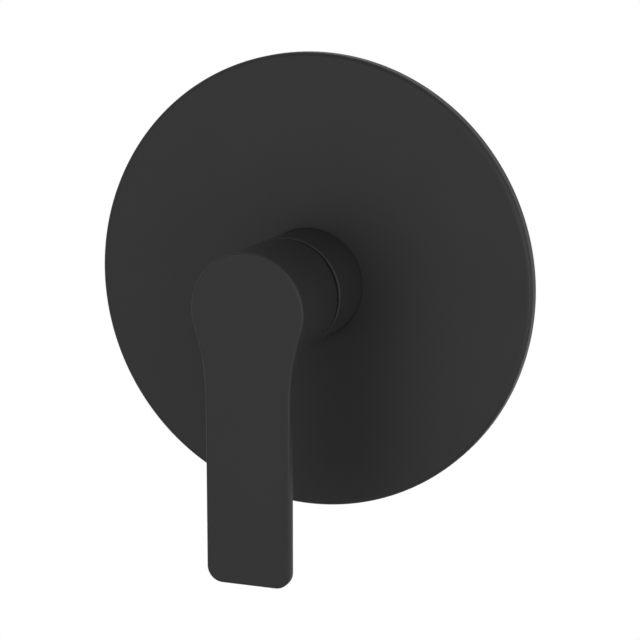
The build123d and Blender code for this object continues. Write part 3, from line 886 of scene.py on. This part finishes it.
turned_rings, given, result = new_group(
    "turned rings", {"Vector": None, "Across": None, "Ring Width": 0.25}, ["Height", "Tone"])
tree = turned_rings
across_axis = vector_calc(tree, "MULTIPLY", given["Vector"], given["Across"])
along_axis = vector_calc(tree, "SUBTRACT", given["Vector"], across_axis)
travel = calc(tree, "ADD", vector_calc(tree, "LENGTH", across_axis),
              vector_calc(tree, "LENGTH", along_axis))
rings = add_node(tree, "ShaderNodeTexNoise", noise_dimensions="1D")
feed(tree, rings.inputs["W"], travel)
feed(tree, rings.inputs["Scale"], calc(tree, "DIVIDE", 1 / MM, given["Ring Width"]))
feed(tree, rings.inputs["Detail"], RING_DETAIL)
tarnish = noise(tree, given["Vector"], TARNISH_WIDTH, detail=3.0)
feed(tree, result["Height"], rings.outputs["Fac"])
feed(tree, result["Tone"], weigh(tree, tarnish, TARNISH_SHARE, rings.outputs["Fac"]))

# %% [markdown]
# Moulded plastic and rubber copy the spark-eroded skin of their mould. It is one pebble at
# several sizes, with slow changes of tone where the melt has flowed.

# %% Group: moulded skin
FLOW_PEBBLES = 30.0
FLOW_SHARE = 0.75

moulded_skin, given, result = new_group(
    "moulded skin", {"Vector": None, "Pebble Width": 0.35}, ["Height", "Tone"])
tree = moulded_skin
pebble = noise(tree, given["Vector"], given["Pebble Width"])
flow = noise(tree, given["Vector"], calc(tree, "MULTIPLY", given["Pebble Width"], FLOW_PEBBLES))
feed(tree, result["Height"], pebble)
feed(tree, result["Tone"], weigh(tree, flow, FLOW_SHARE, pebble))

# %% [markdown]
# Each material starts from the same few lines: the object's own coordinates, one shader, and a
# bump whose height is in millimetres. Numbers that are the same all over are set on the shader
# itself.

# %% Helpers for materials
finishes = {}


def new_material(name, **values):
    """A material with one Principled shader, its plain values set, and object coordinates."""
    material = bpy.data.materials.new(name)
    material.use_nodes = True
    tree = material.node_tree
    shader = tree.nodes["Principled BSDF"]
    for label, value in values.items():
        shader.inputs[label.replace("_", " ")].default_value = value
    where = add_node(tree, "ShaderNodeTexCoord").outputs["Object"]
    return material, tree, shader, where


def use_group(tree, group, vector, **values):
    """Place a group in a material with its own values, and return its outputs."""
    node = add_node(tree, "ShaderNodeGroup", node_tree=group)
    feed(tree, node.inputs["Vector"], vector)
    for label, value in values.items():
        feed(tree, node.inputs[label.replace("_", " ")], value)
    return node.outputs


def between(tree, share, dark, light):
    """A colour between two, by a share from 0 to 1."""
    node = add_node(tree, "ShaderNodeMix", data_type="RGBA")
    feed(tree, node.inputs["Factor"], share)
    feed(tree, node.inputs["A"], dark)
    feed(tree, node.inputs["B"], light)
    return node.outputs["Result"]


def tint(tree, shader, share, dark, light):
    """Colour the surface between two tones."""
    feed(tree, shader.inputs["Base Color"], between(tree, share, dark, light))


def dull(tree, shader, share, smooth, rough, span=MIDDLE):
    """Take the roughness from smooth to rough while the share crosses a span."""
    feed(tree, shader.inputs["Roughness"], remap(tree, share, *span, smooth, rough))


def raise_skin(tree, shader, height, depth):
    """Bump the surface by a height from 0 to 1 times a depth in millimetres."""
    bump = add_node(tree, "ShaderNodeBump")
    feed(tree, bump.inputs["Distance"], depth * MM)
    feed(tree, bump.inputs["Height"], height)
    tree.links.new(bump.outputs["Normal"], shader.inputs["Normal"])


def keep(slot, material):
    """Put a material under its slot's name."""
    finishes[slot] = material
    print("finish", slot, "is", material.name)


# %% [markdown]
# The black of the plate, sleeve and lever. Its own colour gives back about two parts of light in
# a hundred. The coat mirrors about one part more, straight on, and spreads it wide, so the faces
# stay even. Along a surface it mirrors far more, which is why only the edges look pale. The small
# cap over the screw's hole is moulded instead of coated, so it is a little drier.

# %% Finish: matt black
BLACK = (0.0212, 0.0212, 0.0214, 1)
CAP_BLACK = (0.016, 0.016, 0.016, 1)

material, tree, shader, where = new_material(
    "matt black powder coat", Base_Color=BLACK, Specular_IOR_Level=0.125)
coat = use_group(tree, powder_coat, where)
dull(tree, shader, coat["Dryness"], smooth=0.45, rough=0.51)
raise_skin(tree, shader, coat["Height"], depth=1.0)
keep("black_trim", material)

material, tree, shader, where = new_material("black moulded cap", Base_Color=CAP_BLACK)
mould = use_group(tree, moulded_skin, where, Pebble_Width=0.3)
dull(tree, shader, mould["Tone"], smooth=0.48, rough=0.58)
raise_skin(tree, shader, mould["Height"], depth=0.012)
keep("black_cap", material)

# %% [markdown]
# Closed-cell foam is cut from a block, so its skin is a crowd of tiny opened bubbles. Cells of a
# Voronoi texture are those bubbles: the distance to the nearest centre is a bowl. The colour is
# darker towards each bowl's middle, which is painted shade in the hollows. Rubber rings are smooth,
# with a thin grey bloom that comes and goes. Vulcanised fibre is pressed paper, with fibres that
# lie in the sheet, so its noise is squeezed through the sheet's thickness.

# %% Finishes: foam, rubber and fibre
BUBBLE_WIDTH = 0.55
FOAM_TONES_WITH_PAINTED_SHADE = (0.018, 0.018, 0.019, 1), (0.055, 0.055, 0.057, 1)
RUBBER_TONES = (0.010, 0.010, 0.010, 1), (0.024, 0.024, 0.025, 1)
FIBRE_TONES = (0.20, 0.035, 0.02, 1), (0.42, 0.11, 0.065, 1)
FIBRE_WIDTH = 0.5
FIBRE_SQUEEZE = (1.0, 1.0, 5.0)
FIBRE_SPAN = (0.35, 0.7)

material, tree, shader, where = new_material(
    "closed-cell foam", Roughness=0.9, Specular_IOR_Level=0.25)
cells = add_node(tree, "ShaderNodeTexVoronoi")
feed(tree, cells.inputs["Vector"], where)
feed(tree, cells.inputs["Scale"], 1 / (BUBBLE_WIDTH * MM))
# The tint follows the bowl: painted shade, darker towards each bubble's middle and lighter on the
# cell walls.
tint(tree, shader, cells.outputs["Distance"], *FOAM_TONES_WITH_PAINTED_SHADE)
raise_skin(tree, shader, cells.outputs["Distance"], depth=0.18)
keep("foam", material)

material, tree, shader, where = new_material("nitrile rubber", Specular_IOR_Level=0.45)
mould = use_group(tree, moulded_skin, where, Pebble_Width=0.25)
tint(tree, shader, mould["Tone"], *RUBBER_TONES)
dull(tree, shader, mould["Tone"], smooth=0.38, rough=0.55, span=NEAR_MIDDLE)
raise_skin(tree, shader, mould["Height"], depth=0.006)
keep("rubber", material)

material, tree, shader, where = new_material("vulcanised fibre", Roughness=0.7)
fibres = noise(tree, where, FIBRE_WIDTH, detail=4.0, stretch=FIBRE_SQUEEZE)
tint(tree, shader, remap(tree, fibres, *FIBRE_SPAN, *FULL), *FIBRE_TONES)
raise_skin(tree, shader, fibres, depth=0.03)
keep("fibre", material)

# %% [markdown]
# The valve's body is both kinds of brass at once: a frosted casting, and bright metal where a
# lathe has cut its neck, its port mouths and its threads. Where a tool has been is a matter of
# place: beyond the ends of the ports, in front of the barrel, and within the bores. So a mask is
# worked out from the place alone, in millimetres.

# %% Where the casting is cut
BODY_HALF = face("valve_body", X, HIGH)
BARREL_FRONT = 20.0
CUT_MARGIN = 0.05
BORE_MARGIN = 0.2
PORT_DEPTH = mounts["hot_inlet"]["pos_m"][Y] / MM
BORE_REACH = mounts["hot_inlet"]["dims"]["r_mm"] + BORE_MARGIN
BORE_START = BODY_HALF - mounts["hot_inlet"]["dims"]["length_mm"] - BORE_MARGIN


def cut_places(tree, where):
    """A mask that is 1 where a tool has cut the casting: its neck, port mouths and bores.

    A point is in a bore where the squares of its two distances from the port's axis add up to
    less than the bore's radius squared.
    """
    split = add_node(tree, "ShaderNodeSeparateXYZ")
    feed(tree, split.inputs[0], vector_calc(tree, "MULTIPLY", where, (1 / MM, 1 / MM, 1 / MM)))
    x, y, z = split.outputs
    from_port = calc(tree, "SUBTRACT", y, PORT_DEPTH)
    mask = calc(tree, "LESS_THAN", y, BARREL_FRONT - CUT_MARGIN)
    for along_port, beside in ((x, z), (z, x)):
        far = calc(tree, "ABSOLUTE", along_port)
        mouth = calc(tree, "GREATER_THAN", far, BODY_HALF - CUT_MARGIN)
        squares = calc(tree, "ADD", calc(tree, "MULTIPLY", from_port, from_port),
                       calc(tree, "MULTIPLY", beside, beside))
        in_bore = calc(tree, "LESS_THAN", squares, BORE_REACH**2)
        deep = calc(tree, "MULTIPLY", in_bore, calc(tree, "GREATER_THAN", far, BORE_START))
        mask = calc(tree, "MAXIMUM", mask, calc(tree, "MAXIMUM", mouth, deep))
    return mask


print("cut beyond", round(BODY_HALF, 2), "mm and in bores of", BORE_REACH, "mm")

# %% [markdown]
# The casting is a little brown in its hollows and duller in its pits. Cut brass is paler, and
# smooth enough to mirror the room. The rings of a cut are far shallower than the casting's grain.

# %% Finishes: cast and turned brass
CAST_TONES = (0.42, 0.27, 0.11, 1), (0.56, 0.39, 0.17, 1)
CUT_TONES = (0.58, 0.40, 0.16, 1), (0.80, 0.61, 0.30, 1)
CAST_ROUGHNESS = (0.50, 0.72)
CUT_ROUGHNESS = 0.27
CUT_SHALLOW = 0.12
ROUND_Y = (1, 0, 1)

material, tree, shader, where = new_material("cast brass", Metallic=1.0)
cast = use_group(tree, cast_skin, where)
lathe = use_group(tree, turned_rings, where, Across=ROUND_Y, Ring_Width=0.3)
mask = cut_places(tree, where)
cast_colour = between(tree, remap(tree, cast["Tone"], *NEAR_MIDDLE, *FULL), *CAST_TONES)
cut_colour = between(tree, lathe["Tone"], *CUT_TONES)
tint(tree, shader, mask, cast_colour, cut_colour)
cast_roughness = remap(tree, cast["Pits"], *FULL, *CAST_ROUGHNESS)
dull(tree, shader, mask, cast_roughness, CUT_ROUGHNESS, span=FULL)
cast_height = calc(tree, "MULTIPLY", cast["Height"], calc(tree, "SUBTRACT", 1.0, mask))
cut_height = calc(tree, "MULTIPLY", lathe["Height"], calc(tree, "MULTIPLY", mask, CUT_SHALLOW))
raise_skin(tree, shader, calc(tree, "ADD", cast_height, cut_height), depth=0.05)
keep("cast_brass", material)

material, tree, shader, where = new_material("turned brass", Metallic=1.0)
lathe = use_group(tree, turned_rings, where, Across=ROUND_Y, Ring_Width=0.28)
tint(tree, shader, lathe["Tone"], *CUT_TONES)
dull(tree, shader, lathe["Tone"], smooth=0.22, rough=0.32)
raise_skin(tree, shader, lathe["Height"], depth=0.006)
keep("turned_brass", material)

# %% [markdown]
# The cartridge is acetal and ceramic. Acetal is dense and slightly waxy, and each moulding has
# its own colour. The discs are lapped until they cling to each other, so they are the smoothest
# things here. All of them are one recipe with other numbers, so a table holds the numbers: the
# slot, the name, the dark and the light tone, the gloss and the width of the pebble.

# %% Finishes: mouldings and ceramics
MOULDINGS = (
    ("white_moulding", "white acetal", (0.72, 0.72, 0.69, 1), (0.84, 0.84, 0.82, 1), 0.34, 0.4),
    ("grey_moulding", "grey acetal", (0.28, 0.29, 0.31, 1), (0.38, 0.39, 0.41, 1), 0.36, 0.4),
    ("red_moulding", "red acetal", (0.50, 0.03, 0.025, 1), (0.66, 0.06, 0.045, 1), 0.26, 0.5),
    ("white_ceramic", "lapped alumina",
     (0.82, 0.81, 0.77, 1), (0.90, 0.89, 0.86, 1), 0.10, 0.9),
    ("dark_ceramic", "lapped dark ceramic",
     (0.05, 0.05, 0.055, 1), (0.09, 0.09, 0.095, 1), 0.08, 0.9),
)
GLOSS_SPREAD = 0.1

for slot, name, dark, light, gloss, pebble_width in MOULDINGS:
    material, tree, shader, where = new_material(name)
    mould = use_group(tree, moulded_skin, where, Pebble_Width=pebble_width)
    tint(tree, shader, mould["Tone"], dark, light)
    dull(tree, shader, mould["Tone"], gloss, gloss + GLOSS_SPREAD)
    raise_skin(tree, shader, mould["Height"], depth=0.008)
    keep(slot, material)

# %% [markdown]
# The stem and the screws are drawn stainless steel. A die leaves fine lines along the bar, so the
# noise is drawn out along Y, which is the stem's own direction.

# %% Finish: steel
LINE_WIDTH = 0.12
LINE_STRETCH = (1.0, 0.04, 1.0)
STEEL_TONES = (0.50, 0.50, 0.51, 1), (0.70, 0.70, 0.70, 1)

material, tree, shader, where = new_material("drawn stainless steel", Metallic=1.0)
lines = noise(tree, where, LINE_WIDTH, detail=3.0, stretch=LINE_STRETCH)
tint(tree, shader, lines, *STEEL_TONES)
dull(tree, shader, lines, smooth=0.24, rough=0.36)
raise_skin(tree, shader, lines, depth=0.004)
keep("steel", material)

# %% [markdown]
# The record says which finish each node has, so one loop dresses the CAD pieces, and the pieces
# made here take theirs by the same names.

# %% Dress every piece
slot_of = {part["node"]: part["material_slot"] for part in frame["record"]["subparts"]}
for name, thing in nodes.items():
    for slot in thing.material_slots:
        slot.material = finishes[slot_of[name]]
black_pieces = (plate_shell, sleeve_tube, handle_casting)
for thing in black_pieces:
    thing.data.materials.clear()
    thing.data.materials.append(finishes["black_trim"])
for thing in threads:
    thing.data.materials.append(finishes["turned_brass"])

print("finishes", len(finishes), "on", len(nodes), "nodes and",
      len(black_pieces) + len(threads), "pieces")

# %% [markdown]
# The floor is nearly white paint. The studio has no light overhead, so a level floor gets less
# light than the object does. A glow that only the camera and mirrors see lifts it towards the
# background. It lights nothing, and the object's soft shadow still shows in it.

# %% Finish: pale floor
FLOOR_GLOW = (0.42, 0.42, 0.42, 1)
UNLIT = (0, 0, 0, 1)
FLOOR_CLOUDS = 60.0
FLOOR_TONES = (0.86, 0.86, 0.86, 1), (0.90, 0.90, 0.90, 1)

material, tree, shader, where = new_material(
    "pale floor", Roughness=0.9, Specular_IOR_Level=0.1, Emission_Strength=1.0)
tint(tree, shader, noise(tree, where, FLOOR_CLOUDS, detail=3.0), *FLOOR_TONES)
rays = add_node(tree, "ShaderNodeLightPath").outputs
in_mirror = calc(tree, "MAXIMUM", rays["Is Glossy Ray"], rays["Is Transmission Ray"])
in_view = calc(tree, "MAXIMUM", rays["Is Camera Ray"], in_mirror)
feed(tree, shader.inputs["Emission Color"], between(tree, in_view, UNLIT, FLOOR_GLOW))
floor.data.materials.append(material)
print("floor glow", FLOOR_GLOW[0])
